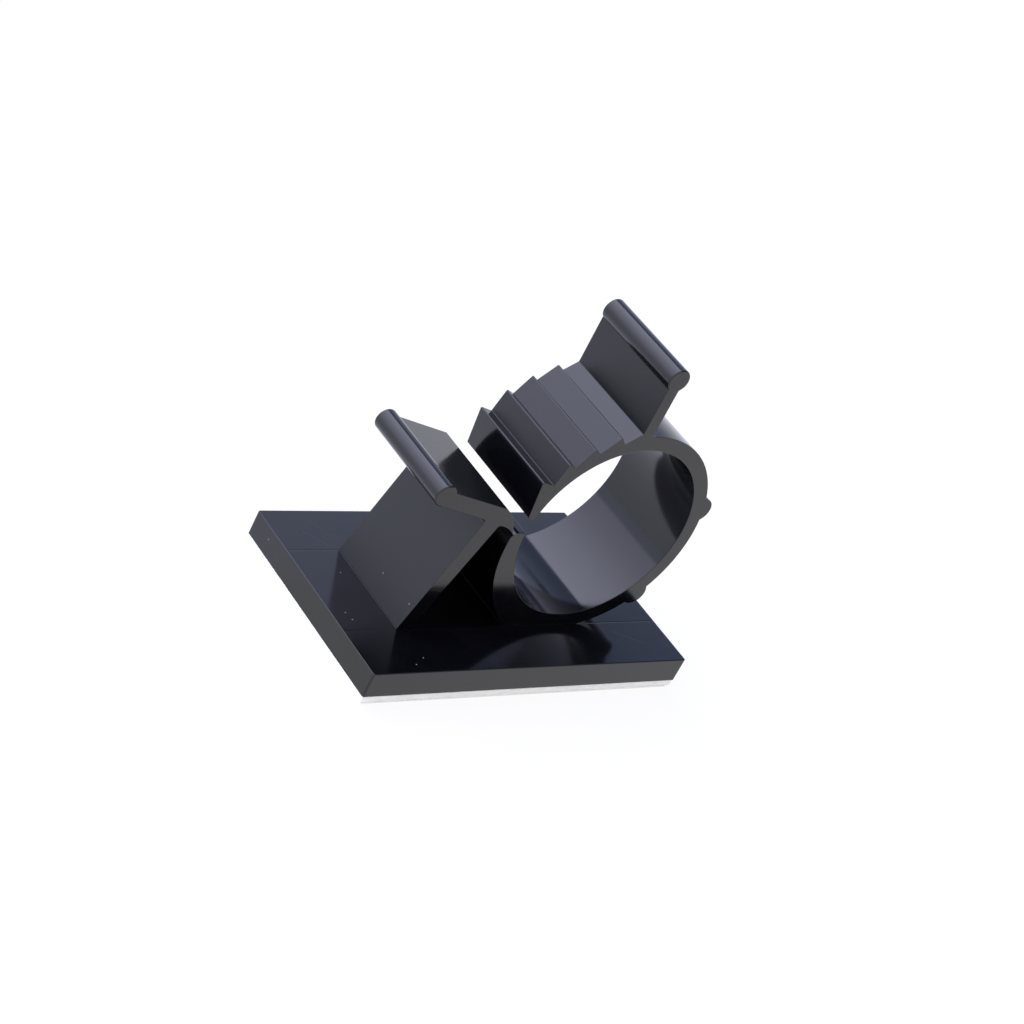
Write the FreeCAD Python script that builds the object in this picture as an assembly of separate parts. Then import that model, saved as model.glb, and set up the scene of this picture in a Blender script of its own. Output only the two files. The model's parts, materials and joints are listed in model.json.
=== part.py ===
import math
import os

import FreeCAD
import Part

# Adhesive cable holder: a nylon plate on a foam pad, carrying a ring that opens at the
# left and latches to a springy leg.  Millimetres, +Z up.  The origin is the middle of the
# underside, +X runs along the plate and the cables lie along Y.
# Profile points are (x, h): x from the plate's middle, h above the plate's top face.

# Mounting plate and its pad
PLATE_LENGTH = 28.0
PLATE_DEPTH = 16.7
PLATE_THICKNESS = 1.93
PLATE_CORNER_RADIUS = 0.15
PLATE_EDGE_RADIUS = 0.06
FOAM_THICKNESS = 0.6
LINER_THICKNESS = 0.1
PAD_INSET = 0.12
PAD_CORNER_RADIUS = 0.5

# The moulded profile stands across the middle of the plate and runs into it by SINK
PROFILE_WIDTH = 8.2
SINK = 0.5
BEAD_END_ROUND = 0.1

# Ring: its lowest outside runs a little way into the plate
RING_X = 4.4
RING_INNER_RADIUS = 7.21
RING_WALL = 1.15
RING_SEAT = 0.235
RING_FOOT_REACH = 1.9
RING_FOOT_FILLET = 0.15

# Left wall of the ring: its back is a wider arc, so that it thickens towards the plate
BACK_SWELL = 0.3
BACK_START_DROP = 1.0
WALL_ROUND = 0.6
WALL_RISE = 0.08

# Toothed strap: the free end of the ring, from the finger tab to the mouth
MOUTH_GAP = 1.0
STRAP_THICKNESS = 0.9
STRAP_END_THICKNESS = 0.62
STRAP_END_LEAN = 2.25
TOOTH_HEIGHTS = (0.645, 0.585, 0.695, 1.06)
TOOTH_PITCH_ANGLE = 13.4
FIRST_TOOTH_ANGLE = 10.55
TOOTH_STEP_ANGLE = 1.76
CREST_ROUND = 0.1
VALLEY_ROUND = 0.04

# Upright finger tab on the strap, with a bead along its top
STRAP_TAB_OFFSET = -1.09
STRAP_TAB_THICKNESS = 0.95
STRAP_TAB_HEIGHT = 4.55
STRAP_TAB_FILLET = 0.3
STRAP_TAB_ROOT_ROUND = 0.06
STRAP_BEAD_RADIUS = 0.88
STRAP_BEAD_SHIFT = 0.09

# Round bumps on the outside of the ring: angles of lower foot, nose and upper foot
BUMPS = ((9.05, 15.0, 22.0), (-48.2, -41.6, -35.2))
BUMP_HEIGHT = 0.67

# Latch: its hook points at the rounded top of the left wall.  Hook points are from the
# hook's point, and the leg leans so that its head sits behind the hook.
HOOK_GAP = 0.22
HOOK_BEARING = 138.6
HOOK_TIP = (-0.012, 0.094)
HOOK_BULGE = (-0.592, 1.192)
HOOK_UNDERSIDE = (-0.598, 0.43)
HOOK_ROOT = (-1.391, 0.66)
LEG_HEAD_THICKNESS = 1.47
LEG_LEAN = 0.34
LEG_TAPER = 0.035
LEG_INNER_FILLET = 0.3
LEG_OUTER_FILLET = 0.05
LEG_ARMPIT_FILLET = 0.3

# Finger tab of the latch, with a bead along its end
LATCH_TAB_CORNER = (-1.52, 2.08)
LATCH_TAB_LENGTH = 5.68
LATCH_TAB_RISE = 0.252
LATCH_TAB_THICKNESS = 1.25
LATCH_BEAD_RADIUS = 0.82
LATCH_BEAD_LIFT = 0.17

PLATE_BOTTOM_Z = LINER_THICKNESS + FOAM_THICKNESS
PLATE_TOP_Z = PLATE_BOTTOM_Z + PLATE_THICKNESS
RING_OUTER_RADIUS = RING_INNER_RADIUS + RING_WALL
RING_H = RING_OUTER_RADIUS - RING_SEAT
BACK_RADIUS = RING_OUTER_RADIUS + BACK_SWELL
BACK_X = RING_X - RING_OUTER_RADIUS
STRAP_END_ANGLE = 180.0 - math.degrees(MOUTH_GAP / RING_INNER_RADIUS)
STRAP_TAB_X = RING_X + STRAP_TAB_OFFSET
STRAP_TAB_TOP_H = RING_H + RING_OUTER_RADIUS + STRAP_TAB_HEIGHT


def ring_point(radius, angle_deg):
    """Profile point at a radius and an angle about the ring's centre."""
    angle = math.radians(angle_deg)
    return (RING_X + radius * math.cos(angle), RING_H + radius * math.sin(angle))


def spatial(point):
    """3-D point in the middle plane of the profile."""
    return FreeCAD.Vector(point[0], 0.0, PLATE_TOP_Z + point[1])


def line(start, end):
    """Straight edge between two profile points."""
    return Part.makeLine(spatial(start), spatial(end))


def arc(start, middle, end):
    """Circular edge through three profile points."""
    return Part.Arc(spatial(start), spatial(middle), spatial(end)).toShape()


def ring_arc(radius, start_deg, end_deg):
    """Circular edge about the ring's centre between two angles."""
    middle = ring_point(radius, 0.5 * (start_deg + end_deg))
    return arc(ring_point(radius, start_deg), middle, ring_point(radius, end_deg))


def rounded_corner(before, corner, after, radius):
    """Start, middle and end of the arc that rounds a straight corner."""
    to_before = FreeCAD.Vector(before[0] - corner[0], before[1] - corner[1], 0)
    to_after = FreeCAD.Vector(after[0] - corner[0], after[1] - corner[1], 0)
    half_angle = 0.5 * to_before.getAngle(to_after)
    to_before.normalize()
    to_after.normalize()
    reach = radius / math.tan(half_angle)
    bisector = to_before + to_after
    bisector.normalize()
    vertex = FreeCAD.Vector(corner[0], corner[1], 0)
    start = vertex + to_before * reach
    end = vertex + to_after * reach
    middle = vertex + bisector * (radius / math.sin(half_angle) - radius)
    return [(p.x, p.y) for p in (start, middle, end)]


def rounded_path(corners):
    """Straight run of edges; a corner given as (x, h, radius) is rounded by that radius."""
    edges = []
    at = corners[0][:2]
    for before, corner, after in zip(corners, corners[1:], corners[2:]):
        if len(corner) == 3:
            start, middle, end = rounded_corner(before[:2], corner[:2], after[:2], corner[2])
            edges += [line(at, start), arc(start, middle, end)]
            at = end
        else:
            edges.append(line(at, corner))
            at = corner
    edges.append(line(at, corners[-1][:2]))
    return edges


def extrude_profile(edges):
    """Solid of the profile's full width from a closed run of edges."""
    wire = Part.Wire(Part.__sortEdges__(edges))
    face = Part.Face(wire)
    face.translate(FreeCAD.Vector(0, -0.5 * PROFILE_WIDTH, 0))
    return face.extrude(FreeCAD.Vector(0, PROFILE_WIDTH, 0))


def bead(centre, radius):
    """Round bead across the full width of the profile, with both end edges eased."""
    start = spatial(centre) - FreeCAD.Vector(0, 0.5 * PROFILE_WIDTH, 0)
    cylinder = Part.makeCylinder(radius, PROFILE_WIDTH, start, FreeCAD.Vector(0, 1, 0))
    ends = [e for e in cylinder.Edges if e.BoundBox.YLength < 1e-6]
    return cylinder.makeFillet(BEAD_END_ROUND, ends)


def rounded_slab(length, depth, bottom_z, thickness, corner_radius):
    """Flat rectangular slab with rounded upright corners."""
    corner = FreeCAD.Vector(-0.5 * length, -0.5 * depth, bottom_z)
    slab = Part.makeBox(length, depth, thickness, corner)
    upright = [e for e in slab.Edges if abs(e.BoundBox.ZLength - thickness) < 1e-6]
    return slab.makeFillet(corner_radius, upright)


def mounting_plate():
    """Nylon plate with its top edge eased."""
    slab = rounded_slab(PLATE_LENGTH, PLATE_DEPTH, PLATE_BOTTOM_Z, PLATE_THICKNESS, PLATE_CORNER_RADIUS)
    top_edges = [e for e in slab.Edges if e.BoundBox.ZMin > PLATE_TOP_Z - 1e-6]
    return slab.makeFillet(PLATE_EDGE_RADIUS, top_edges)


def toothed_strap_path():
    """Outside of the strap, from its end over the teeth and up the tab's left face."""
    tab_left = STRAP_TAB_X - 0.5 * STRAP_TAB_THICKNESS
    tab_angle = math.degrees(math.acos((tab_left - RING_X) / RING_OUTER_RADIUS))
    valley_radius = RING_INNER_RADIUS + STRAP_THICKNESS
    tab_root = (tab_left, RING_H + RING_OUTER_RADIUS * math.sin(math.radians(tab_angle)) + 0.3)
    teeth = []
    for index, height in enumerate(TOOTH_HEIGHTS):
        crest_angle = tab_angle + FIRST_TOOTH_ANGLE + index * TOOTH_PITCH_ANGLE
        teeth.append(ring_point(valley_radius, crest_angle - TOOTH_STEP_ANGLE) + (VALLEY_ROUND,))
        teeth.append(ring_point(valley_radius + height, crest_angle) + (CREST_ROUND,))
    end_inner = ring_point(RING_INNER_RADIUS, STRAP_END_ANGLE)
    end_outer = ring_point(RING_INNER_RADIUS + STRAP_END_THICKNESS, STRAP_END_ANGLE - STRAP_END_LEAN)
    return rounded_path(
        [(tab_left, STRAP_TAB_TOP_H), tab_root + (STRAP_TAB_ROOT_ROUND,)] + teeth + [end_outer + (0.1,), end_inner]
    )


def tab_to_ring_path():
    """Tab's top and right face, blended into the round outside, down to the right foot."""
    tab_left = STRAP_TAB_X - 0.5 * STRAP_TAB_THICKNESS
    tab_right = STRAP_TAB_X + 0.5 * STRAP_TAB_THICKNESS
    centre_x = tab_right + STRAP_TAB_FILLET
    centre_h = RING_H + math.sqrt((RING_OUTER_RADIUS + STRAP_TAB_FILLET) ** 2 - (centre_x - RING_X) ** 2)
    landing = math.degrees(math.atan2(centre_h - RING_H, centre_x - RING_X))
    turn = math.radians(180.0 + 0.5 * landing)
    middle = (centre_x + STRAP_TAB_FILLET * math.cos(turn), centre_h + STRAP_TAB_FILLET * math.sin(turn))
    foot_angle = math.degrees(math.asin(RING_FOOT_REACH / RING_OUTER_RADIUS)) - 90.0
    return [
        line((tab_left, STRAP_TAB_TOP_H), (tab_right, STRAP_TAB_TOP_H)),
        line((tab_right, STRAP_TAB_TOP_H), (tab_right, centre_h)),
        arc((tab_right, centre_h), middle, ring_point(RING_OUTER_RADIUS, landing)),
        ring_arc(RING_OUTER_RADIUS, landing, foot_angle),
        line(ring_point(RING_OUTER_RADIUS, foot_angle), (RING_X + RING_FOOT_REACH, -SINK)),
    ]


def back_point(height):
    """Point on the wider arc at the back of the left wall."""
    drop = RING_H - BACK_START_DROP - height
    return (BACK_X + BACK_RADIUS - math.sqrt(BACK_RADIUS ** 2 - drop ** 2), height)


def cable_ring():
    """The open ring with its backed left wall, toothed strap and tab."""
    start_h = RING_H - BACK_START_DROP
    edges = toothed_strap_path() + tab_to_ring_path()
    edges.append(line((RING_X + RING_FOOT_REACH, -SINK), back_point(-SINK)))
    edges.append(arc(back_point(-SINK), back_point(0.5 * start_h), back_point(start_h)))
    edges += rounded_path([
        (BACK_X, start_h),
        (BACK_X, RING_H + WALL_RISE, WALL_ROUND),
        (RING_X - RING_INNER_RADIUS, RING_H + WALL_RISE),
        ring_point(RING_INNER_RADIUS, 180.0),
    ])
    edges.append(ring_arc(RING_INNER_RADIUS, -180.0, STRAP_END_ANGLE))
    return extrude_profile(edges)


def ring_foot_fillet():
    """Fillet between the back of the left wall and the plate."""
    centre_x = BACK_X + BACK_RADIUS
    start_h = RING_H - BACK_START_DROP
    reach = BACK_RADIUS + RING_FOOT_FILLET
    drop = start_h - RING_FOOT_FILLET
    toe = (centre_x - math.sqrt(reach ** 2 - drop ** 2), 0.0)
    scale = BACK_RADIUS / reach
    touch = (centre_x + (toe[0] - centre_x) * scale, start_h - drop * scale)
    turn = 0.5 * (math.radians(-90.0) + math.atan2(touch[1] - RING_FOOT_FILLET, touch[0] - toe[0]))
    middle = (
        toe[0] + RING_FOOT_FILLET * math.cos(turn),
        RING_FOOT_FILLET + RING_FOOT_FILLET * math.sin(turn),
    )
    inside_x = touch[0] + RING_WALL
    edges = rounded_path([touch, (inside_x, touch[1]), (inside_x, -SINK), (toe[0], -SINK), toe])
    return extrude_profile(edges + [arc(toe, middle, touch)])


def outside_bump(lower_foot, nose, upper_foot):
    """One round bump across the outside of the ring."""
    buried = RING_OUTER_RADIUS - 0.5 * RING_WALL
    feet = [ring_point(RING_OUTER_RADIUS, lower_foot), ring_point(RING_OUTER_RADIUS, upper_foot)]
    roots = [ring_point(buried, lower_foot), ring_point(buried, upper_foot)]
    edges = [
        arc(feet[0], ring_point(RING_OUTER_RADIUS + BUMP_HEIGHT, nose), feet[1]),
        line(feet[1], roots[1]),
        line(roots[1], roots[0]),
        line(roots[0], feet[0]),
    ]
    return extrude_profile(edges)


def latch():
    """Springy leg with a hook to the right of its head and a finger tab to the left."""
    bearing = math.radians(HOOK_BEARING)
    hook_reach = WALL_ROUND + HOOK_GAP
    hook_x = BACK_X + WALL_ROUND + hook_reach * math.cos(bearing)
    hook_h = RING_H + WALL_RISE - WALL_ROUND + hook_reach * math.sin(bearing)

    def from_hook(point):
        return (hook_x + point[0], hook_h + point[1])

    root = from_hook(HOOK_ROOT)
    corner = from_hook(LATCH_TAB_CORNER)
    end_x = corner[0] - LATCH_TAB_LENGTH
    end_top_h = corner[1] + LATCH_TAB_RISE * LATCH_TAB_LENGTH
    end_under_h = end_top_h - LATCH_TAB_THICKNESS
    bead_centre = (end_x, end_top_h - 0.5 * LATCH_TAB_THICKNESS + LATCH_BEAD_LIFT)

    # Faces of the leg, down from the head to the plate
    head_x = corner[0]
    right_foot_x = head_x - LEG_LEAN * root[1]
    left_lean = LEG_LEAN - LEG_TAPER
    left_foot_x = head_x - LEG_HEAD_THICKNESS - left_lean * root[1]
    under_at_foot = end_under_h - LATCH_TAB_RISE * (left_foot_x - end_x)
    armpit_h = under_at_foot / (1.0 + LATCH_TAB_RISE * left_lean)
    armpit = (left_foot_x + left_lean * armpit_h, armpit_h)

    toe = 1.5 * LEG_INNER_FILLET
    heel = 2.0 * LEG_OUTER_FILLET
    edges = rounded_path([
        (left_foot_x - heel, -SINK),
        (left_foot_x - heel, 0.0),
        (left_foot_x, 0.0, LEG_OUTER_FILLET),
        armpit + (LEG_ARMPIT_FILLET,),
        (end_x, end_under_h),
        (end_x, end_top_h),
        corner,
    ])
    edges.append(arc(corner, from_hook(HOOK_BULGE), from_hook(HOOK_TIP)))
    edges.append(line(from_hook(HOOK_TIP), from_hook((0.0, 0.0))))
    edges.append(arc(from_hook((0.0, 0.0)), from_hook(HOOK_UNDERSIDE), root))
    edges += rounded_path([
        root,
        (head_x, root[1], 0.1),
        (right_foot_x, 0.0, LEG_INNER_FILLET),
        (right_foot_x + toe, 0.0),
        (right_foot_x + toe, -SINK),
        (left_foot_x - heel, -SINK),
    ])
    return extrude_profile(edges).fuse(bead(bead_centre, LATCH_BEAD_RADIUS))


def clamp_body():
    """The whole nylon moulding as one solid."""
    pieces = [cable_ring(), ring_foot_fillet(), latch()]
    pieces += [outside_bump(*angles) for angles in BUMPS]
    pieces.append(bead((STRAP_TAB_X + STRAP_BEAD_SHIFT, STRAP_TAB_TOP_H), STRAP_BEAD_RADIUS))
    return mounting_plate().fuse(pieces).removeSplitter()


def pad_layer(bottom_z, thickness):
    """One layer of the pad, set in a little from the plate's edge."""
    length = PLATE_LENGTH - 2 * PAD_INSET
    depth = PLATE_DEPTH - 2 * PAD_INSET
    return rounded_slab(length, depth, bottom_z, thickness, PAD_CORNER_RADIUS)


def main():
    """Write one STEP file for each physical piece."""
    os.makedirs("parts", exist_ok=True)
    pieces = {
        "clamp_body": clamp_body(),
        "foam_pad": pad_layer(LINER_THICKNESS, FOAM_THICKNESS),
        "release_liner": pad_layer(0.0, LINER_THICKNESS),
    }
    for name, shape in pieces.items():
        if not shape.isValid() or len(shape.Solids) != 1:
            raise ValueError(name + " is not one valid solid")
        shape.exportStep("parts/" + name + ".step")
        box = shape.BoundBox
        print(name, round(shape.Volume, 2), [round(v, 3) for v in (box.XLength, box.YLength, box.ZMin, box.ZMax)])


main()
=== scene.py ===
"""Looks of a stick-on cable holder: a glossy black nylon moulding on white foam tape.

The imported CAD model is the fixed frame. This script finishes its nodes, replaces the plain foam
solid with a modelled pad, and sets up the studio: a white floor, a sky that holds a large window,
and the camera. Lengths in the classes are millimetres; Blender works in metres.
"""

import json
import logging
from dataclasses import dataclass
from enum import Enum

import bmesh
import bpy
from mathutils import Matrix, Vector

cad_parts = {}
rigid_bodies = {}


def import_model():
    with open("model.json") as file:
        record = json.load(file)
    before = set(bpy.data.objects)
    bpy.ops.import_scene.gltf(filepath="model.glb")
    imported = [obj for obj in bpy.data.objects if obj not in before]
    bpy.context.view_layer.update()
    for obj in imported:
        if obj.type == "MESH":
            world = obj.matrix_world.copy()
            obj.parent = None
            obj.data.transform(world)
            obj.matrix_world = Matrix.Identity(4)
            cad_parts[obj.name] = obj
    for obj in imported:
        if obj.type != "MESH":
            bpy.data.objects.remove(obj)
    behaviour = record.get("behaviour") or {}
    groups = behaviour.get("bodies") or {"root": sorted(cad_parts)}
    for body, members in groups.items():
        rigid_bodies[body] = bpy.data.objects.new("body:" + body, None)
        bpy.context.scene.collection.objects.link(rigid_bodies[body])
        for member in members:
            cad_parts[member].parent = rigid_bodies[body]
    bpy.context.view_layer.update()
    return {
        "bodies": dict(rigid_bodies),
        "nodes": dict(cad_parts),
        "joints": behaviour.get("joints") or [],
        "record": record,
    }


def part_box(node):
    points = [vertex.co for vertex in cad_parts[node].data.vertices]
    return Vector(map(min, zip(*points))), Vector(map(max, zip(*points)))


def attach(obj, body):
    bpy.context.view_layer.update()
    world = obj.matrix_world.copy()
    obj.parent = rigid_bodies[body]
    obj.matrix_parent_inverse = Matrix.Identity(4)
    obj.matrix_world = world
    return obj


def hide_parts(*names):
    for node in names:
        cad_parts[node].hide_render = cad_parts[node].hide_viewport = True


MM = 0.001
LOG = logging.getLogger("cable_holder")

# A span is where a mask, a shade or a piece starts and ends.
Colour = tuple[float, float, float]
Point = tuple[float, float, float]
Span = tuple[float, float]
Socket = bpy.types.NodeSocket


class Part(Enum):
    """CAD nodes of the holder."""

    MOULDING = "clamp_body"
    FOAM = "foam_pad"
    LINER = "release_liner"


class Slot(Enum):
    """Material slots of the record."""

    NYLON = "nylon"
    FOAM = "foam"
    LINER = "liner"


def deselect_all() -> None:
    """Leave nothing selected, so that the next operator acts on its own piece only."""
    if bpy.context.object and bpy.context.object.mode != "OBJECT":
        bpy.ops.object.mode_set(mode="OBJECT")
    bpy.ops.object.select_all(action="DESELECT")


class NodeBoard:
    """Adds and wires the nodes of one shader tree."""

    def __init__(self, tree: bpy.types.NodeTree) -> None:
        """Take a tree and empty it.

        Args:
            tree: The node tree of a material or of the world.
        """
        self.tree = tree
        tree.nodes.clear()

    def add(self, kind: str, sockets: dict | None = None, **settings: object) -> bpy.types.Node:
        """Add one node.

        Args:
            kind: The node's type without the "ShaderNode" in front.
            sockets: Values or output sockets for its inputs, by name or by number.
            settings: The node's own properties.

        Returns:
            The new node.
        """
        node = self.tree.nodes.new("ShaderNode" + kind)
        for name, value in settings.items():
            setattr(node, name, value)
        for key, value in (sockets or {}).items():
            if isinstance(value, Socket):
                self.tree.links.new(value, node.inputs[key])
            else:
                node.inputs[key].default_value = value
        return node

    def math(self, operation: str, *terms: object, clamp: bool = False) -> Socket:
        """Combine numbers.

        Args:
            operation: The Math node's operation.
            terms: One to three numbers or output sockets.
            clamp: Whether the result is held between 0 and 1.

        Returns:
            The result's socket.
        """
        sockets = dict(enumerate(terms))
        return self.add("Math", sockets, operation=operation, use_clamp=clamp).outputs[0]

    def product(self, first: object, *others: object) -> Socket:
        """Multiply numbers, from left to right.

        Args:
            first: A number or output socket.
            others: The numbers or output sockets that it is multiplied by.

        Returns:
            The product's socket.
        """
        for other in others:
            first = self.math("MULTIPLY", first, other)
        return first

    def size(self, value: object) -> Socket:
        """Give a number without its sign."""
        return self.math("ABSOLUTE", value)

    def vector(self, operation: str, *terms: object) -> bpy.types.Node:
        """Combine vectors and give the node.

        Args:
            operation: The Vector Math node's operation.
            terms: Vectors or output sockets.

        Returns:
            The node, whose outputs are a vector and a value.
        """
        return self.add("VectorMath", dict(enumerate(terms)), operation=operation)

    def scaled(self, vector: object, factor: object) -> Socket:
        """Scale a vector by a number."""
        return self.add("VectorMath", {0: vector, "Scale": factor}, operation="SCALE").outputs[0]

    def split(self, vector: object) -> tuple[Socket, Socket, Socket]:
        """Take a vector apart.

        Args:
            vector: The vector's socket.

        Returns:
            The sockets of its X, Y and Z.
        """
        return tuple(self.add("SeparateXYZ", {0: vector}).outputs)

    def ramp(self, value: object, low: float, high: float, to_low: float, to_high: float) -> Socket:
        """Map a value smoothly from one range to another.

        Args:
            value: The number or socket to map.
            low: Start of the range it comes from.
            high: End of the range it comes from.
            to_low: What the start becomes.
            to_high: What the end becomes.

        Returns:
            The mapped value's socket.
        """
        sockets = {0: value, 1: low, 2: high, 3: to_low, 4: to_high}
        return self.add("MapRange", sockets, interpolation_type="SMOOTHSTEP").outputs[0]

    def rise(self, value: object, span: Span) -> Socket:
        """Go smoothly from 0 at the span's start to 1 at its end."""
        return self.ramp(value, *span, 0.0, 1.0)

    def fall(self, value: object, span: Span) -> Socket:
        """Go smoothly from 1 at the span's start to 0 at its end."""
        return self.ramp(value, *span, 1.0, 0.0)

    def blend(self, share: object, first: object, second: object) -> Socket:
        """Mix two colours.

        Args:
            share: How much of the second colour there is.
            first: A colour or socket.
            second: A colour or socket.

        Returns:
            The mixed colour's socket.
        """
        node = self.add("Mix", data_type="RGBA")
        for index, value in ((0, share), (6, first), (7, second)):
            if isinstance(value, Socket):
                self.tree.links.new(value, node.inputs[index])
            elif isinstance(value, tuple):
                node.inputs[index].default_value = (*value, 1)
            else:
                node.inputs[index].default_value = value
        return node.outputs[2]

    def millimetres(self) -> Socket:
        """Give the object coordinates in millimetres."""
        return self.scaled(self.add("TexCoord").outputs["Object"], 1 / MM)

    def facing(self) -> tuple[Socket, Socket, Socket]:
        """Give the X, Y and Z of the surface's normal in object space."""
        return self.split(self.add("TexCoord").outputs["Normal"])

    def noise(self, place: object, per_mm: float, detail: float, stretch: Point = (1, 1, 1)) -> Socket:
        """Noise of a real size.

        Args:
            place: The coordinates' socket, in millimetres.
            per_mm: Features to the millimetre.
            detail: Octaves of finer noise.
            stretch: Scale along each axis.

        Returns:
            The noise value's socket.
        """
        turned = self.add("Mapping", {"Vector": place, "Scale": stretch}).outputs[0]
        return self.add("TexNoise", {"Vector": turned, "Scale": per_mm, "Detail": detail}).outputs[0]


def new_material(name: str) -> tuple[bpy.types.Material, NodeBoard]:
    """Make an empty material.

    Args:
        name: The material's name.

    Returns:
        The material and the board of its nodes.
    """
    material = bpy.data.materials.new(name)
    material.use_nodes = True
    return material, NodeBoard(material.node_tree)


@dataclass(frozen=True)
class Profile:
    """Sizes of the moulding that its finish goes by."""

    ring_axis: Point
    bore_radius: float
    half_width: float
    plate_top: float

    @classmethod
    def from_frame(cls, frame: dict, plate_thickness: float = 1.93) -> "Profile":
        """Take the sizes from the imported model.

        Args:
            frame: The loaded frame.
            plate_thickness: How thick the mounting plate is.

        Returns:
            The profile.
        """
        ring = next(mount for mount in frame["record"]["mounts"] if mount["name"] == "cable_ring")
        axis = tuple(value / MM for value in ring["pos_m"])
        plate_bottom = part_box(Part.FOAM.value)[1][2] / MM
        half_width = ring["dims"]["length_mm"] / 2
        return cls(axis, ring["dims"]["r_mm"], half_width, plate_bottom + plate_thickness)

    def from_axis(self, board: NodeBoard, place: Socket) -> Socket:
        """Distance from the ring's axis.

        Args:
            board: The material's board.
            place: Coordinates in millimetres.

        Returns:
            The distance's socket, in millimetres.
        """
        offset = board.vector("SUBTRACT", place, self.ring_axis).outputs[0]
        across = board.vector("MULTIPLY", offset, (1.0, 0.0, 1.0)).outputs[0]
        return board.vector("LENGTH", across).outputs[1]

    def above_plate(self, board: NodeBoard, place: Socket) -> Socket:
        """Height above the plate's top.

        Args:
            board: The material's board.
            place: Coordinates in millimetres.

        Returns:
            The height's socket, in millimetres.
        """
        return board.math("SUBTRACT", board.split(place)[2], self.plate_top)


@dataclass(frozen=True)
class Crease:
    """An inside corner along the moulding's width: its place, and how far and how dark its shade is."""

    x: float
    z: float
    reach: float
    depth: float


@dataclass(frozen=True)
class PocketShade:
    """The pocket between the leg and the ring, and the creases at their feet: rougher nylon with painted
    shade, darker and less reflective.
    """

    profile: Profile
    left: Span = (-9.0, -8.7)
    right: Span = (-1.5, 1.0)
    top: Span = (9.5, 10.5)
    ring_clearance: Span = (0.39, 0.79)
    past_middle: Span = (4.05, 4.5)
    crease_past_middle: Span = (4.1, 4.25)
    side_face: float = 0.5
    outer_face: Span = (-0.5, 0.1)
    creases: tuple[Crease, ...] = (
        Crease(x=-9.67, z=2.66, reach=0.09, depth=0.45),
        Crease(x=-8.2, z=2.8, reach=0.4, depth=0.9),
        Crease(x=-0.64, z=2.78, reach=0.35, depth=0.95),
        Crease(x=6.3, z=2.66, reach=0.2, depth=0.8),
    )

    def mask(self, board: NodeBoard, place: Socket) -> Socket:
        """Where shade is painted into the nylon, which is also rougher there.

        Args:
            board: The material's board.
            place: Coordinates in millimetres.

        Returns:
            A mask, 1 in the pocket.
        """
        x, y, z = board.split(place)
        face_x, face_y, face_z = board.facing()
        profile_face = board.math("LESS_THAN", board.size(face_y), self.side_face)
        ring_span = tuple(self.profile.bore_radius + clearance for clearance in self.ring_clearance)
        inside = board.product(
            board.rise(x, self.left),
            board.fall(x, self.right),
            board.fall(z, self.top),
            board.rise(self.profile.from_axis(board, place), ring_span),
            profile_face,
        )
        leans_out = board.math("LESS_THAN", face_x, self.outer_face[0])
        outer = board.product(leans_out, board.math("GREATER_THAN", face_z, self.outer_face[1]))
        from_middle = board.size(y)
        not_outer = board.math("SUBTRACT", 1.0, outer)
        inside = board.product(inside, not_outer, board.fall(from_middle, self.past_middle))
        beside = board.product(board.fall(from_middle, self.crease_past_middle), profile_face)
        section = board.vector("MULTIPLY", place, (1.0, 0.0, 1.0)).outputs[0]
        for crease in self.creases:
            away = board.vector("DISTANCE", section, (crease.x, 0.0, crease.z)).outputs[1]
            shade = board.ramp(away, crease.reach / 2, crease.reach, crease.depth, 0.0)
            inside = board.math("MAXIMUM", inside, board.product(shade, beside))
        return inside


@dataclass(frozen=True)
class Dust:
    """Dust on the moulding: a thin scatter, and the flecks that the photograph shows."""

    per_mm: float = 0.55
    speck: Span = (0.014, 0.026)
    rarity: float = 0.82
    fleck: Span = (0.02, 0.075)
    fleck_strength: float = 0.5
    flecks: tuple[Point, ...] = (
        (-14.0, 6.15, 1.86),
        (-10.86, 1.73, 2.63),
        (-9.18, -0.20, 4.19),
        (-9.12, -3.59, 4.38),
        (-12.78, -2.31, 2.63),
        (-12.62, -3.01, 2.63),
        (-10.06, -7.56, 2.63),
    )

    def mask(self, board: NodeBoard, place: Socket) -> Socket:
        """Where the dust lies.

        Args:
            board: The material's board.
            place: Coordinates in millimetres.

        Returns:
            A mask, 1 on a speck.
        """
        cells = board.add("TexVoronoi", {"Vector": place, "Scale": self.per_mm, "Randomness": 1.0})
        draw = board.add("SeparateColor", {0: cells.outputs["Color"]}).outputs[0]
        chosen = board.math("GREATER_THAN", draw, self.rarity)
        dust = board.product(board.fall(cells.outputs["Distance"], self.speck), chosen)
        for fleck in self.flecks:
            away = board.vector("DISTANCE", place, fleck).outputs[1]
            dust = board.math("MAXIMUM", dust, board.ramp(away, *self.fleck, self.fleck_strength, 0.0))
        return dust


@dataclass(frozen=True)
class Score:
    """A straight hairline scratch on the plate's top, from one X and Y to another."""

    start: Span
    end: Span


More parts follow.
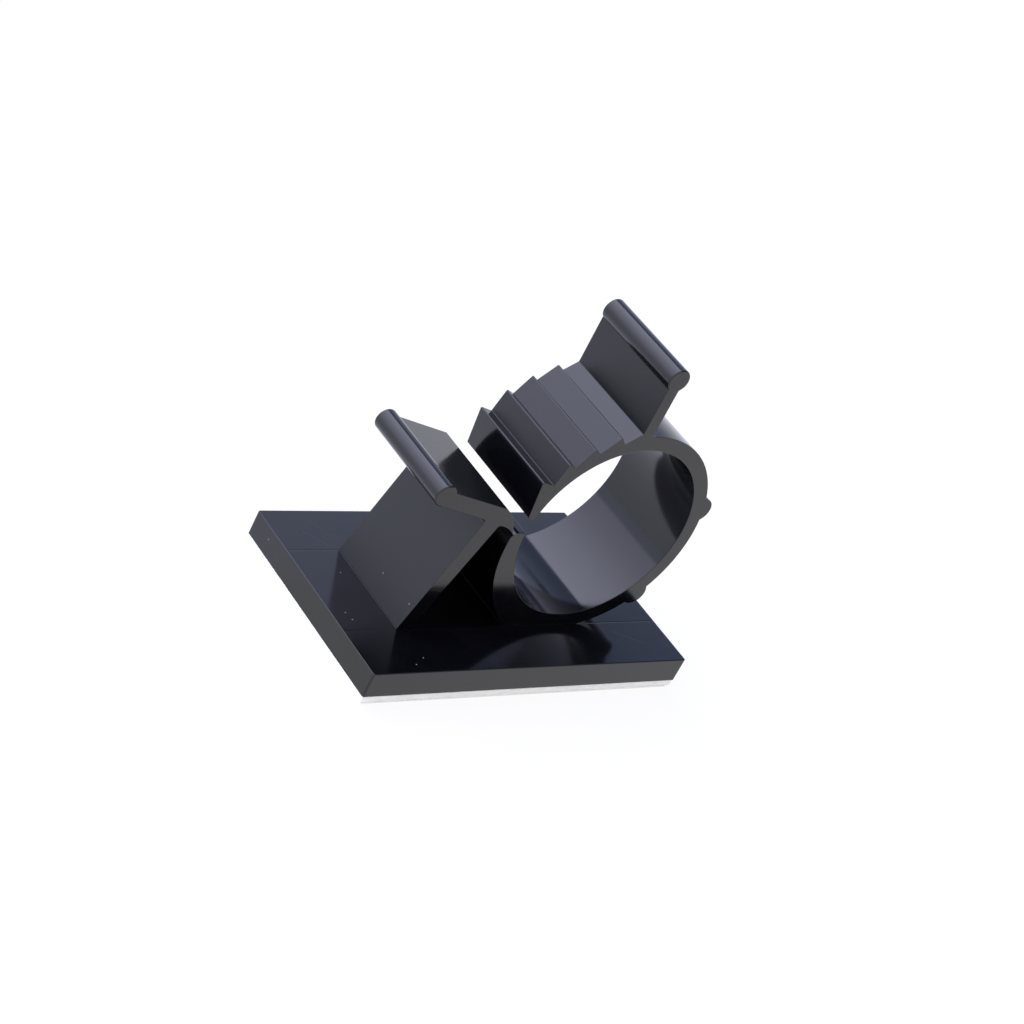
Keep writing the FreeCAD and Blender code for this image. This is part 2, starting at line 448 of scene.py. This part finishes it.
@dataclass(frozen=True)
class Scratches:
    """Hairline scores on the plate's top and a haze of rubbing marks."""

    width: Span = (0.015, 0.06)
    rub_per_mm: float = 1.1
    rub_stretch: Point = (0.5, 7.0, 3.0)
    rub_level: Span = (0.62, 0.78)
    rub_strength: float = 0.35
    top_face: float = 0.9
    scores: tuple[Score, ...] = (
        Score(start=(-10.74, 7.57), end=(-9.03, 5.20)),
        Score(start=(-11.6, 6.1), end=(-10.3, 4.6)),
        Score(start=(9.2, -5.1), end=(11.3, -6.4)),
    )

    def mask(self, board: NodeBoard, place: Socket) -> Socket:
        """Where the nylon is scratched.

        Args:
            board: The material's board.
            place: Coordinates in millimetres.

        Returns:
            A mask, 1 along a score.
        """
        rubbed = board.noise(place, self.rub_per_mm, detail=4.0, stretch=self.rub_stretch)
        marks = board.ramp(rubbed, *self.rub_level, 0.0, self.rub_strength)
        level = board.vector("MULTIPLY", place, (1.0, 1.0, 0.0)).outputs[0]
        top = board.math("GREATER_THAN", board.facing()[2], self.top_face)
        for score in self.scores:
            away = self.from_score(board, level, score)
            marks = board.math("MAXIMUM", marks, board.product(board.fall(away, self.width), top))
        return marks

    def from_score(self, board: NodeBoard, level: Socket, score: Score) -> Socket:
        """Distance from the nearest point of a score.

        Args:
            board: The material's board.
            level: Coordinates in millimetres, with no height.
            score: The score.

        Returns:
            The distance's socket, in millimetres.
        """
        start = Vector((*score.start, 0))
        run = Vector((*score.end, 0)) - start
        offset = board.vector("SUBTRACT", level, tuple(start)).outputs[0]
        share = board.vector("DOT_PRODUCT", offset, tuple(run / run.length_squared)).outputs[1]
        share = board.math("MINIMUM", board.math("MAXIMUM", share, 0.0), 1.0)
        return board.vector("DISTANCE", offset, board.scaled(tuple(run), share)).outputs[1]


@dataclass(frozen=True)
class Relief:
    """Relief of the moulding: eased edges, flow ripples, fine grain and the mould's witness lines."""

    profile: Profile
    edge_radius: float = 0.06
    foot_height: Span = (-0.012, 0.25)
    foot_half_depth: Span = (5.0, 5.5)
    foot_half_length: Span = (12.0, 12.5)
    line_width: float = 0.08
    line_depth: float = 0.006
    line_height: float = 0.02
    ripple_per_mm: float = 0.45
    ripple_depth: float = 0.0045
    grain_per_mm: float = 9.0
    grain_depth: float = 0.00035

    def normal(self, board: NodeBoard, place: Socket) -> Socket:
        """The surface's normal with its relief.

        Args:
            board: The material's board.
            place: Coordinates in millimetres.

        Returns:
            The normal's socket.
        """
        above = self.profile.above_plate(board, place)
        ripple = board.product(board.noise(place, self.ripple_per_mm, detail=2.0), self.ripple_depth)
        grain = board.product(board.noise(place, self.grain_per_mm, detail=3.0), self.grain_depth)
        height = board.math("ADD", ripple, grain)
        height = board.math("SUBTRACT", height, self.witness_line(board, place, above))
        eased = self.eased_edges(board, place, above)
        bump = board.add("Bump", {"Height": height, "Distance": MM, "Strength": 1.0, "Normal": eased})
        return bump.outputs[0]

    def eased_edges(self, board: NodeBoard, place: Socket, above: Socket) -> Socket:
        """Ease the edges, except at the feet of the leg and the ring, which meet the plate sharply.

        Args:
            board: The material's board.
            place: Coordinates in millimetres.
            above: Height above the plate's top.

        Returns:
            The normal's socket.
        """
        x, y, _ = board.split(place)
        plain = board.add("NewGeometry").outputs["Normal"]
        eased = board.add("Bevel", {"Radius": self.edge_radius * MM}, samples=6).outputs[0]
        foot = board.product(
            board.math("GREATER_THAN", above, self.foot_height[0]),
            board.math("LESS_THAN", above, self.foot_height[1]),
            board.fall(board.size(y), self.foot_half_depth),
            board.fall(board.size(x), self.foot_half_length),
        )
        return board.blend(foot, eased, plain)

    def witness_line(self, board: NodeBoard, place: Socket, above: Socket) -> Socket:
        """Depth of the fine grooves on the plate in line with the profile's two ends.

        Args:
            board: The material's board.
            place: Coordinates in millimetres.
            above: Height above the plate's top.

        Returns:
            The depth's socket, in millimetres.
        """
        past_end = board.math("SUBTRACT", board.size(board.split(place)[1]), self.profile.half_width)
        line = board.fall(board.size(past_end), (0.0, self.line_width))
        on_plate = board.math("LESS_THAN", board.size(above), self.line_height)
        return board.product(line, on_plate, self.line_depth)


@dataclass(frozen=True)
class NylonFinish:
    """Black moulded nylon: polished in the bore, glossy on the plate and satin on the drawn walls."""

    profile: Profile
    deep: Colour = (0.0019, 0.0020, 0.0032)
    worn: Colour = (0.0030, 0.0031, 0.0046)
    # Painted shade colour for the pocket and the creases.
    shaded: Colour = (0.0003, 0.0003, 0.0004)
    dust: Colour = (0.40, 0.41, 0.44)
    ior: float = 1.53
    # Specular level in the pocket and in the open; the low level in the pocket is painted shade.
    shaded_to_open_specular: Span = (0.03, 0.5)
    plate_gloss: float = 0.12
    bore_gloss: float = 0.09
    drawn_gloss: float = 0.40
    pocket_gloss: float = 0.50
    bore_skin: Span = (0.1, 0.2)
    drawn_face: Span = (-0.93, -0.8)
    drawn_lean: float = -0.05
    clouds_per_mm: float = 0.35
    cloud_level: Span = (0.3, 0.7)
    cloud_roughness: float = 0.03
    pocket_shade: float = 0.8
    score_paleness: float = 0.02
    score_roughness: float = 0.15
    dust_roughness: float = 0.5

    def make(self) -> bpy.types.Material:
        """Build the material.

        Returns:
            The nylon material.
        """
        material, board = new_material("black_moulded_nylon")
        place = board.millimetres()
        pocket = PocketShade(self.profile).mask(board, place)
        open_share = board.math("SUBTRACT", 1.0, pocket)
        dust = board.product(Dust().mask(board, place), open_share)
        score = Scratches().mask(board, place)
        cloud = board.rise(board.noise(place, self.clouds_per_mm, detail=3.0), self.cloud_level)
        colour = board.blend(cloud, self.deep, self.worn)
        # Painted shade: the pocket and the creases are darkened towards the shaded colour.
        colour = board.blend(board.product(pocket, self.pocket_shade), colour, self.shaded)
        colour = board.blend(board.product(score, self.score_paleness), colour, self.dust)
        colour = board.blend(dust, colour, self.dust)
        gloss = self.gloss(board, place, pocket)
        gloss = board.math("ADD", gloss, board.product(cloud, self.cloud_roughness))
        gloss = board.math("ADD", gloss, board.product(score, self.score_roughness))
        gloss = board.math("ADD", gloss, board.product(dust, self.dust_roughness), clamp=True)
        sockets = {
            "Base Color": colour,
            "Roughness": gloss,
            "Normal": Relief(self.profile).normal(board, place),
            "IOR": self.ior,
            # Painted shade in the reflections: the specular level is nearly off in the pocket and the
            # creases.
            "Specular IOR Level": board.ramp(open_share, 0.0, 1.0, *self.shaded_to_open_specular),
        }
        shader = board.add("BsdfPrincipled", sockets)
        board.add("OutputMaterial", {"Surface": shader.outputs[0]})
        return material

    def gloss(self, board: NodeBoard, place: Socket, pocket: Socket) -> Socket:
        """Roughness of each region: bore, plate, drawn walls and pocket.

        Args:
            board: The material's board.
            place: Coordinates in millimetres.
            pocket: The pocket's mask.

        Returns:
            The roughness's socket.
        """
        skin = tuple(self.profile.bore_radius + depth for depth in self.bore_skin)
        outside = board.rise(self.profile.from_axis(board, place), skin)
        face_x, _, face_z = board.facing()
        upright = board.math("GREATER_THAN", face_z, self.drawn_lean)
        drawn = board.product(board.fall(face_x, self.drawn_face), outside, upright)
        past_bore = board.product(outside, self.plate_gloss - self.bore_gloss)
        rough = board.math("ADD", self.bore_gloss, past_bore)
        rough = board.math("ADD", rough, board.product(drawn, self.drawn_gloss - self.plate_gloss))
        return board.math("ADD", rough, board.product(pocket, self.pocket_gloss - self.plate_gloss))


@dataclass(frozen=True)
class FoamFinish:
    """White closed-cell foam: tiny cells on the cut sides, with light that soaks in a little."""

    # Painted shade colour for the hollows of the cells.
    cell: Colour = (0.95, 0.94, 0.885)
    pit_shade: Colour = (0.90, 0.888, 0.825)
    roughness: float = 0.85
    cells_per_mm: float = 9.0
    cell_wall: float = 0.55
    cell_depth: float = 0.02
    patches_per_mm: float = 1.3
    patch_level: Span = (0.3, 0.7)
    patch_strength: Span = (0.6, 1.0)
    soak: float = 0.25
    soak_depth: float = 0.3

    def make(self) -> bpy.types.Material:
        """Build the material.

        Returns:
            The foam material.
        """
        material, board = new_material("white_cell_foam")
        place = board.millimetres()
        cells = board.add("TexVoronoi", {"Vector": place, "Scale": self.cells_per_mm})
        depth = board.rise(cells.outputs["Distance"], (0.0, self.cell_wall))
        patches = board.noise(place, self.patches_per_mm, detail=2.0)
        mottled = board.product(depth, board.ramp(patches, *self.patch_level, *self.patch_strength))
        bump = board.add("Bump", {"Height": board.product(depth, self.cell_depth), "Distance": MM})
        sockets = {
            # Painted shade: each cell's hollow is coloured a little darker, more in some patches than in
            # others.
            "Base Color": board.blend(mottled, self.pit_shade, self.cell),
            "Roughness": self.roughness,
            "Normal": bump.outputs[0],
            "Subsurface Weight": self.soak,
            "Subsurface Radius": (1.0, 1.0, 1.0),
            "Subsurface Scale": self.soak_depth * MM,
        }
        board.add("OutputMaterial", {"Surface": board.add("BsdfPrincipled", sockets).outputs[0]})
        return material


@dataclass(frozen=True)
class LinerFinish:
    """Smooth white release paper with faint fibres."""

    sheet: Colour = (0.93, 0.93, 0.90)
    fibre: Colour = (0.87, 0.87, 0.83)
    roughness: float = 0.45
    fibres_per_mm: float = 3.0
    fibre_stretch: Point = (1.0, 2.5, 1.0)
    fibre_level: Span = (0.4, 0.75)
    fibre_depth: float = 0.004

    def make(self) -> bpy.types.Material:
        """Build the material.

        Returns:
            The paper material.
        """
        material, board = new_material("white_release_paper")
        place = board.millimetres()
        pulp = board.noise(place, self.fibres_per_mm, detail=5.0, stretch=self.fibre_stretch)
        fibres = board.rise(pulp, self.fibre_level)
        bump = board.add("Bump", {"Height": board.product(fibres, self.fibre_depth), "Distance": MM})
        sockets = {
            "Base Color": board.blend(fibres, self.sheet, self.fibre),
            "Roughness": self.roughness,
            "Normal": bump.outputs[0],
        }
        board.add("OutputMaterial", {"Surface": board.add("BsdfPrincipled", sockets).outputs[0]})
        return material


@dataclass
class CadNode:
    """A CAD node that keeps its shape and gets its finish."""

    node: bpy.types.Object
    slot: Slot

    def dress(self, material: bpy.types.Material) -> None:
        """Give the node its finish.

        Args:
            material: The finish.
        """
        self.node.data.materials.clear()
        self.node.data.materials.append(material)
        LOG.info("%s dressed with %s", self.node.name, material.name)


@dataclass
class FoamPad:
    """The tape's foam: a thin pad with rounded corners whose cut sides swell a little and waver."""

    length: float
    depth: float
    low: float
    high: float
    corner: float = 0.5
    corner_segments: int = 5
    swell: float = 0.04
    waver: float = 0.008
    step: float = 0.8
    layers: int = 4
    rim: float = 0.4
    smooth_angle: float = 0.7
    tolerance: float = 0.02

    @classmethod
    def from_frame(cls) -> "FoamPad":
        """Take the pad's size from the CAD pad.

        Returns:
            The pad, not yet built.
        """
        lowest, highest = (Vector(corner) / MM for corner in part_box(Part.FOAM.value))
        size = highest - lowest
        return cls(length=size.x, depth=size.y, low=lowest.z, high=highest.z)

    def build(self, material: bpy.types.Material) -> bpy.types.Object:
        """Model the pad and put it in the CAD pad's place.

        Args:
            material: The foam.

        Returns:
            The pad.
        """
        deselect_all()
        bpy.ops.mesh.primitive_cube_add(size=1.0, location=(0, 0, 0))
        pad = bpy.context.object
        pad.name = "tape_foam"
        bpy.ops.object.mode_set(mode="EDIT")
        bpy.ops.mesh.select_all(action="SELECT")
        size = (self.length * MM, self.depth * MM, (self.high - self.low) * MM)
        bpy.ops.transform.resize(value=size)
        bpy.ops.transform.translate(value=(0, 0, (self.high + self.low) / 2 * MM))
        self.round_corners(pad)
        self.cut()
        self.swell_sides(pad)
        bpy.ops.object.mode_set(mode="OBJECT")
        bpy.ops.object.shade_smooth_by_angle(angle=self.smooth_angle)
        pad.data.materials.append(material)
        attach(pad, "root")
        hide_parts(Part.FOAM.value)
        LOG.info("foam pad modelled: %d faces", len(pad.data.polygons))
        return pad

    def round_corners(self, pad: bpy.types.Object) -> None:
        """Round the four upright edges.

        Args:
            pad: The pad, in edit mode.
        """
        mesh = bmesh.from_edit_mesh(pad.data)
        for edge in mesh.edges:
            first, second = edge.verts
            edge.select_set(abs(first.co.z - second.co.z) > self.tolerance * MM)
        bmesh.update_edit_mesh(pad.data)
        bpy.ops.mesh.bevel(offset=self.corner * MM, segments=self.corner_segments)

    def cut(self) -> None:
        """Cut the pad, in edit mode, into layers and short strips, so that its sides can bend."""
        layer = (self.high - self.low) / self.layers
        cuts = [((0, 0, 1), (0, 0, self.low + layer * index)) for index in range(1, self.layers)]
        for normal, size in (((1, 0, 0), self.length), ((0, 1, 0), self.depth)):
            count = int((size / 2 - self.corner) / self.step)
            for index in range(-count, count + 1):
                cuts.append((normal, tuple(value * index * self.step for value in normal)))
        for normal, point in cuts:
            bpy.ops.mesh.select_all(action="SELECT")
            bpy.ops.mesh.bisect(plane_co=tuple(value * MM for value in point), plane_no=normal)

    def swell_sides(self, pad: bpy.types.Object) -> None:
        """Push the middle of the cut sides out and let them waver, with top and bottom left flat.

        Args:
            pad: The pad, in edit mode.
        """
        middle = (self.low + self.high) / 2
        half = (self.high - self.low) / 2
        for seed, share in enumerate((-0.5, 0.0, 0.5), start=2):
            self.select_rim(pad, middle + share * half)
            out = self.swell * (1 - share * share)
            bpy.ops.transform.resize(value=(1 + 2 * out / self.length, 1 + 2 * out / self.depth, 1))
            bpy.ops.transform.vertex_random(offset=self.waver * MM, uniform=1.0, seed=seed)

    def select_rim(self, pad: bpy.types.Object, height: float) -> None:
        """Select the points of the cut sides at one height.

        Args:
            pad: The pad, in edit mode.
            height: The height in millimetres.
        """
        mesh = bmesh.from_edit_mesh(pad.data)
        for vertex in mesh.verts:
            x, y, z = vertex.co / MM
            at_side = abs(x) > self.length / 2 - self.rim or abs(y) > self.depth / 2 - self.rim
            vertex.select_set(abs(z - height) < self.tolerance and at_side)
        mesh.select_flush_mode()
        bmesh.update_edit_mesh(pad.data)


@dataclass(frozen=True)
class Sky:
    """What the nylon mirrors: a large window behind and above it, dimmer sky beside that, and a pale room.

    Bearings are degrees about the Y axis, from +X up and over to -X. Depth is a direction's Y.
    """

    window_start: Span = (69.7, 71.3)
    window_end: Span = (165.0, 170.0)
    window_fade: Span = (95.0, 170.0)
    window_near: Colour = (2.851, 2.898, 3.717)
    window_far: Colour = (1.792, 1.822, 2.336)
    back_half: Span = (-0.3, 0.0)
    right_depth: Span = (0.52, 0.65)
    right_shallow: Colour = (0.41, 0.50, 0.79)
    right_deep: Colour = (0.66, 0.74, 1.0)
    right_climb: Span = (45.0, 62.0)
    right_high: Colour = (0.38, 0.46, 0.74)
    horizon: Span = (5.0, 26.0)
    horizon_colour: Colour = (0.92, 0.94, 1.02)
    left_depth: Span = (0.585, 0.635)
    left_shallow: Colour = (1.05, 1.14, 1.45)
    left_deep: Colour = (1.5, 1.6, 1.95)
    right_to_left: Span = (90.0, 160.0)
    door_start: Span = (36.4, 37.6)
    door_end: Span = (43.0, 46.0)
    door_depth: Span = (0.560, 0.572)
    door_colour: Colour = (0.02, 0.02, 0.03)
    room: Colour = (1.12, 1.12, 1.12)
    curtain_way: Point = (0.653, -0.590, 0.475)
    curtain_edge: Span = (0.89, 0.95)
    curtain_colour: Colour = (0.03, 0.03, 0.04)

    def light(self, board: NodeBoard) -> Socket:
        """Colour of the light from each direction.

        Args:
            board: The world's board.

        Returns:
            The colour's socket.
        """
        direction = board.add("TexCoord").outputs["Generated"]
        x, depth, z = board.split(direction)
        bearing = board.math("DEGREES", board.math("ARCTAN2", z, x))
        behind = board.rise(depth, self.back_half)
        sides = board.blend(
            board.rise(bearing, self.right_to_left),
            self.right_side(board, bearing, depth),
            board.blend(board.rise(depth, self.left_depth), self.left_shallow, self.left_deep),
        )
        toward = board.vector("DOT_PRODUCT", direction, self.curtain_way).outputs[1]
        front = board.blend(board.rise(toward, self.curtain_edge), self.room, self.curtain_colour)
        pane = board.product(
            board.rise(bearing, self.window_start), behind, board.fall(bearing, self.window_end)
        )
        window = board.blend(board.rise(bearing, self.window_fade), self.window_near, self.window_far)
        return board.blend(pane, board.blend(behind, front, sides), window)

    def right_side(self, board: NodeBoard, bearing: Socket, depth: Socket) -> Socket:
        """Sky to the right of the window, with a dark doorway low in it.

        Args:
            board: The world's board.
            bearing: The direction's bearing.
            depth: The direction's depth.

        Returns:
            The colour's socket.
        """
        colour = board.blend(board.rise(depth, self.right_depth), self.right_shallow, self.right_deep)
        colour = board.blend(board.rise(bearing, self.right_climb), colour, self.right_high)
        colour = board.blend(board.rise(bearing, self.horizon), self.horizon_colour, colour)
        door = board.product(
            board.rise(bearing, self.door_start),
            board.fall(bearing, self.door_end),
            board.fall(depth, self.door_depth),
        )
        return board.blend(door, colour, self.door_colour)


@dataclass
class Studio:
    """White floor, sky and camera."""

    camera_place: Point = (-109.2515, -98.249, 88.4259)
    camera_right: Point = (0.757296, -0.504306, 0.414944)
    camera_up: Point = (-0.005305, 0.630602, 0.776088)
    camera_back: Point = (-0.65305, -0.58993, 0.474877)
    lens: float = 85.896
    sensor: float = 36.0
    clip: Span = (5.0, 20000.0)
    floor_size: float = 6000.0
    floor_colour: Colour = (0.8, 0.8, 0.8)
    floor_glow: float = 0.88
    mirrored_tint: Colour = (1.0, 1.04, 1.2)
    mirrored_depth: Span = (2.0, 9.0)

    def build(self) -> None:
        """Make the camera, the floor and the world."""
        bpy.context.scene.view_settings.view_transform = "Standard"
        self.camera()
        self.floor()
        self.world()
        LOG.info("studio built")

    def camera(self) -> None:
        """Stand the camera where the photograph was taken from."""
        data = bpy.data.cameras.new("camera")
        data.sensor_width = self.sensor
        data.lens = self.lens
        data.clip_start, data.clip_end = (distance * MM for distance in self.clip)
        camera = bpy.data.objects.new("camera", data)
        bpy.context.scene.collection.objects.link(camera)
        turned = Matrix((self.camera_right, self.camera_up, self.camera_back)).transposed().to_4x4()
        camera.matrix_world = Matrix.Translation(Vector(self.camera_place) * MM) @ turned
        bpy.context.scene.camera = camera

    def floor(self) -> None:
        """Lay the white floor, which glows for the camera and in the nylon, and keeps the shadow."""
        deselect_all()
        bpy.ops.mesh.primitive_plane_add(size=self.floor_size * MM, location=(0, 0, 0))
        floor = bpy.context.object
        floor.name = "floor"
        material, board = new_material("white_floor")
        ray = board.add("LightPath").outputs
        seen = board.math("MAXIMUM", ray["Is Camera Ray"], ray["Is Glossy Ray"])
        seen = board.math("MAXIMUM", seen, ray["Is Transmission Ray"])
        matte = board.add("BsdfDiffuse", {"Color": (*self.floor_colour, 1)})
        behind = board.rise(board.split(board.millimetres())[1], self.mirrored_depth)
        mirrored = board.product(behind, ray["Is Glossy Ray"])
        tint = board.blend(mirrored, (1.0, 1.0, 1.0), self.mirrored_tint)
        glow = board.add("Emission", {"Color": tint, "Strength": 1.0})
        share = board.product(seen, self.floor_glow)
        mixed = board.add("MixShader", {0: share, 1: matte.outputs[0], 2: glow.outputs[0]})
        board.add("OutputMaterial", {"Surface": mixed.outputs[0]})
        floor.data.materials.append(material)

    def world(self) -> None:
        """Light the holder by the sky, which the camera itself sees as plain white."""
        world = bpy.data.worlds.new("studio")
        bpy.context.scene.world = world
        world.use_nodes = True
        board = NodeBoard(world.node_tree)
        seen = board.add("LightPath").outputs["Is Camera Ray"]
        glow = board.add("Background", {"Color": Sky().light(board), "Strength": 1.0})
        white = board.add("Background", {"Color": (1, 1, 1, 1), "Strength": 1.0})
        mixed = board.add("MixShader", {0: seen, 1: glow.outputs[0], 2: white.outputs[0]})
        board.add("OutputWorld", {"Surface": mixed.outputs[0]})


def main() -> None:
    """Load the frame, dress its nodes and build the studio."""
    logging.basicConfig(level=logging.INFO, format="%(message)s")
    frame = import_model()
    nodes = frame["nodes"]
    nylon = NylonFinish(Profile.from_frame(frame)).make()
    CadNode(nodes[Part.MOULDING.value], Slot.NYLON).dress(nylon)
    FoamPad.from_frame().build(FoamFinish().make())
    CadNode(nodes[Part.LINER.value], Slot.LINER).dress(LinerFinish().make())
    Studio().build()


if __name__ == "__main__":
    main()
